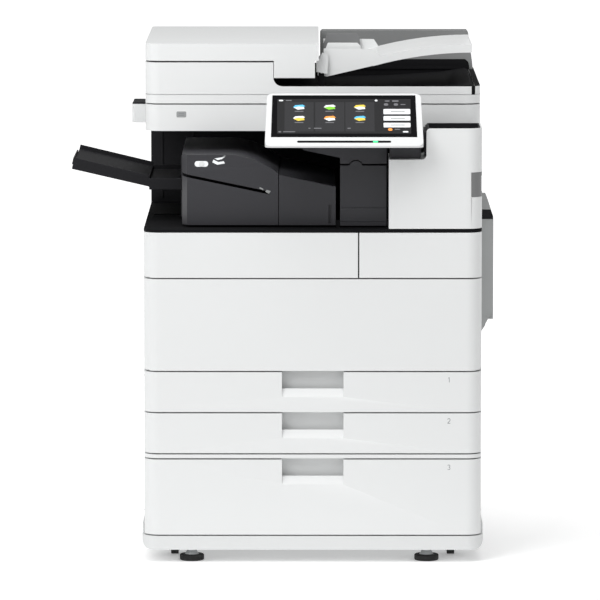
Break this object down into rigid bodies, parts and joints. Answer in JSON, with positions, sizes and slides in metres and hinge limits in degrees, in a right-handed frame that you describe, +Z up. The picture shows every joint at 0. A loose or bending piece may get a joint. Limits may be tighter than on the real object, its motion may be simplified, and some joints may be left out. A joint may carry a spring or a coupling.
{
  "type": "photocopier",
  "caption": "Floor-standing office copier with paper drawers, a flatbed reader under a document feeder, a dark inner finisher with a side stack tray and a tilting touch panel.",
  "frame": {"origin": "middle of the bounding box in x and y, on the floor in z", "axes": "+X to the machine's right as seen from the front, +Y towards the back, +Z up"},
  "size_m": [0.7838, 0.741, 0.947],
  "materials": {
    "cover": "fine-textured moulded plastic",
    "plinth_plastic": "fine-textured moulded plastic",
    "dark": "fine-textured dark moulded plastic",
    "dark_satin": "satin dark plastic",
    "steel": "galvanised sheet",
    "inner": "plain moulded plastic",
    "tray": "plain moulded plastic",
    "grey": "fine-textured grey plastic",
    "rubber": "matt",
    "glass": "clear",
    "touch": "glossy black",
    "drum": "satin coated tube",
    "fuser": "coated tube",
    "silicone": "matt silicone",
    "button": "smooth"
  },
  "bodies": {
    "machine": {"plinth": "plinth_plastic", "joint_strip": "cover", "frame": "steel", "left_cover": "cover", "right_cover": "cover", "rear_cover": "cover", "inner_cover": "inner", "fixed_front_cover": "cover", "deck": "dark", "cavity_wall": "dark", "tower_cover": "cover", "tower_tray": "dark", "reader_body": "cover", "platen_glass": "glass", "scan_rails": "steel", "levelling_feet": "rubber", "caster_mounts": "steel", "rear_units": "inner", "finisher_body": "dark_satin", "exit_housing": "dark_satin", "panel_arm": "dark_satin"},
    "scan_carriage": {"scan_carriage": "inner"},
    "deep_drawer": {"deep_drawer_front": "cover", "deep_drawer_tray": "tray"},
    "deep_lifter": {"deep_drawer_lifter": "steel"},
    "middle_drawer": {"middle_drawer_front": "cover", "middle_drawer_tray": "tray"},
    "middle_lifter": {"middle_drawer_lifter": "steel"},
    "upper_drawer": {"upper_drawer_front": "cover", "upper_drawer_tray": "tray"},
    "upper_lifter": {"upper_drawer_lifter": "steel"},
    "front_door": {"front_door": "cover"},
    "toner_cover": {"toner_cover": "cover"},
    "toner_bottle": {"toner_bottle": "inner"},
    "drum": {"drum": "drum"},
    "fixing_roller": {"fixing_roller": "fuser"},
    "pressure_roller": {"pressure_roller": "silicone"},
    "right_door": {"right_door": "cover"},
    "hand_tray": {"hand_tray": "grey"},
    "hand_tray_flap": {"hand_tray_flap": "grey"},
    "release_lever": {"release_lever": "grey"},
    "jam_door": {"jam_door": "dark_satin"},
    "staple_button": {"staple_button": "button"},
    "stack_tray": {"stack_tray": "dark"},
    "stack_extension": {"stack_extension": "dark"},
    "panel": {"panel_housing": "cover", "touch_glass": "touch"},
    "feeder": {"feeder_body": "cover"},
    "feed_cover": {"feed_cover": "cover"},
    "input_tray": {"input_tray": "cover"},
    "front_guide": {"front_guide": "cover"},
    "rear_guide": {"rear_guide": "cover"},
    "caster_fl": {"caster_fork_fl": "steel"},
    "wheel_fl": {"caster_wheel_fl": "rubber"},
    "caster_fr": {"caster_fork_fr": "steel"},
    "wheel_fr": {"caster_wheel_fr": "rubber"},
    "caster_rl": {"caster_fork_rl": "steel"},
    "wheel_rl": {"caster_wheel_rl": "rubber"},
    "caster_rr": {"caster_fork_rr": "steel"},
    "wheel_rr": {"caster_wheel_rr": "rubber"}
  },
  "joints": [
    {"name": "caster_fl_swivel", "type": "hinge", "parent": "machine", "child": "caster_fl", "pos_m": [-0.19961, -0.20053, 0.045], "axis": [0, 0, 1], "continuous": true},
    {"name": "wheel_fl_roll", "type": "hinge", "parent": "caster_fl", "child": "wheel_fl", "pos_m": [-0.19961, -0.19153, 0.014], "axis": [1, 0, 0], "continuous": true},
    {"name": "caster_fr_swivel", "type": "hinge", "parent": "machine", "child": "caster_fr", "pos_m": [0.31239, -0.20053, 0.045], "axis": [0, 0, 1], "continuous": true},
    {"name": "wheel_fr_roll", "type": "hinge", "parent": "caster_fr", "child": "wheel_fr", "pos_m": [0.31239, -0.19153, 0.014], "axis": [1, 0, 0], "continuous": true},
    {"name": "caster_rl_swivel", "type": "hinge", "parent": "machine", "child": "caster_rl", "pos_m": [-0.19961, 0.28447, 0.045], "axis": [0, 0, 1], "continuous": true},
    {"name": "wheel_rl_roll", "type": "hinge", "parent": "caster_rl", "child": "wheel_rl", "pos_m": [-0.19961, 0.29347, 0.014], "axis": [1, 0, 0], "continuous": true},
    {"name": "caster_rr_swivel", "type": "hinge", "parent": "machine", "child": "caster_rr", "pos_m": [0.31239, 0.28447, 0.045], "axis": [0, 0, 1], "continuous": true},
    {"name": "wheel_rr_roll", "type": "hinge", "parent": "caster_rr", "child": "wheel_rr", "pos_m": [0.31239, 0.29347, 0.014], "axis": [1, 0, 0], "continuous": true},
    {"name": "deep_drawer_slide", "type": "slide", "parent": "machine", "child": "deep_drawer", "axis": [0, -1, 0], "range_m": [0, 0.42]},
    {"name": "deep_lifter_rise", "type": "slide", "parent": "deep_drawer", "child": "deep_lifter", "axis": [0, 0, 1], "range_m": [0, 0.07]},
    {"name": "middle_drawer_slide", "type": "slide", "parent": "machine", "child": "middle_drawer", "axis": [0, -1, 0], "range_m": [0, 0.42]},
    {"name": "middle_lifter_tilt", "type": "hinge", "parent": "middle_drawer", "child": "middle_lifter", "pos_m": [0.00439, -0.16453, 0.2135], "axis": [0, -1, 0], "range_deg": [0, 4.5]},
    {"name": "upper_drawer_slide", "type": "slide", "parent": "machine", "child": "upper_drawer", "axis": [0, -1, 0], "range_m": [0, 0.42]},
    {"name": "upper_lifter_tilt", "type": "hinge", "parent": "upper_drawer", "child": "upper_lifter", "pos_m": [0.00439, -0.16453, 0.2897], "axis": [0, -1, 0], "range_deg": [0, 4.5]},
    {"name": "front_door_hinge", "type": "hinge", "parent": "machine", "child": "front_door", "pos_m": [-0.16361, -0.29053, 0.3786], "axis": [1, 0, 0], "range_deg": [0, 80]},
    {"name": "toner_cover_hinge", "type": "hinge", "parent": "machine", "child": "toner_cover", "pos_m": [-0.16361, -0.29053, 0.55], "axis": [1, 0, 0], "range_deg": [0, 80]},
    {"name": "toner_bottle_turn", "type": "hinge", "parent": "machine", "child": "toner_bottle", "pos_m": [-0.06361, -0.24053, 0.565], "axis": [0, 1, 0], "continuous": true},
    {"name": "drum_turn", "type": "hinge", "parent": "machine", "child": "drum", "pos_m": [0.27839, -0.20053, 0.4656], "axis": [0, 1, 0], "continuous": true},
    {"name": "fixing_roller_turn", "type": "hinge", "parent": "machine", "child": "fixing_roller", "pos_m": [0.27989, -0.20053, 0.567], "axis": [0, 1, 0], "continuous": true},
    {"name": "pressure_roller_turn", "type": "hinge", "parent": "machine", "child": "pressure_roller", "pos_m": [0.30889, -0.20053, 0.567], "axis": [0, 1, 0], "continuous": true},
    {"name": "right_door_hinge", "type": "hinge", "parent": "machine", "child": "right_door", "pos_m": [0.35839, -0.10053, 0.3626], "axis": [0, 1, 0], "range_deg": [0, 80]},
    {"name": "hand_tray_hinge", "type": "hinge", "parent": "right_door", "child": "hand_tray", "pos_m": [0.37839, -0.10053, 0.4404], "axis": [0, 1, 0], "range_deg": [0, 75]},
    {"name": "hand_tray_flap_hinge", "type": "hinge", "parent": "hand_tray", "child": "hand_tray_flap", "pos_m": [0.38919, -0.10053, 0.6072], "axis": [0, -1, 0], "range_deg": [0, 165]},
    {"name": "release_lever_pull", "type": "slide", "parent": "machine", "child": "release_lever", "axis": [1, 0, 0], "range_m": [0, 0.006], "stiffness_N_per_m": 300},
    {"name": "jam_door_hinge", "type": "hinge", "parent": "machine", "child": "jam_door", "pos_m": [0.11659, -0.24853, 0.6244], "axis": [1, 0, 0], "range_deg": [0, 80]},
    {"name": "staple_button_press", "type": "slide", "parent": "machine", "child": "staple_button", "axis": [0, 1, 0], "range_m": [0, 0.0012], "stiffness_N_per_m": 400},
    {"name": "stack_tray_lift", "type": "slide", "parent": "machine", "child": "stack_tray", "axis": [0, 0, 1], "range_m": [-0.045, 0.045]},
    {"name": "stack_extension_slide", "type": "slide", "parent": "stack_tray", "child": "stack_extension", "axis": [-0.9744, 0, 0.225], "range_m": [0, 0.08]},
    {"name": "panel_tilt", "type": "hinge", "parent": "machine", "child": "panel", "pos_m": [0.11339, -0.30591, 0.77918], "axis": [1, 0, 0], "range_deg": [-20, 30]},
    {"name": "feeder_lift", "type": "hinge", "parent": "machine", "child": "feeder", "pos_m": [-0.14361, 0.35447, 0.842], "axis": [-1, 0, 0], "range_deg": [0, 65]},
    {"name": "feed_cover_hinge", "type": "hinge", "parent": "feeder", "child": "feed_cover", "pos_m": [-0.24911, -0.00053, 0.9175], "axis": [0, -1, 0], "range_deg": [0, 70]},
    {"name": "input_tray_lift", "type": "hinge", "parent": "feeder", "child": "input_tray", "pos_m": [0.07239, -0.00053, 0.8932], "axis": [0, -1, 0], "range_deg": [0, 10]},
    {"name": "front_guide_slide", "type": "slide", "parent": "input_tray", "child": "front_guide", "axis": [0, 1, 0], "range_m": [0, 0.07]},
    {"name": "rear_guide_slide", "type": "slide", "parent": "input_tray", "child": "rear_guide", "axis": [0, 1, 0], "range_m": [-0.07, 0]},
    {"name": "scan_carriage_slide", "type": "slide", "parent": "machine", "child": "scan_carriage", "axis": [1, 0, 0], "range_m": [0, 0.42]}
  ],
  "couplings": [
    {"joint": "rear_guide_slide", "follows": "front_guide_slide", "ratio": -1},
    {"joint": "pressure_roller_turn", "follows": "fixing_roller_turn", "ratio": -1}
  ]
}
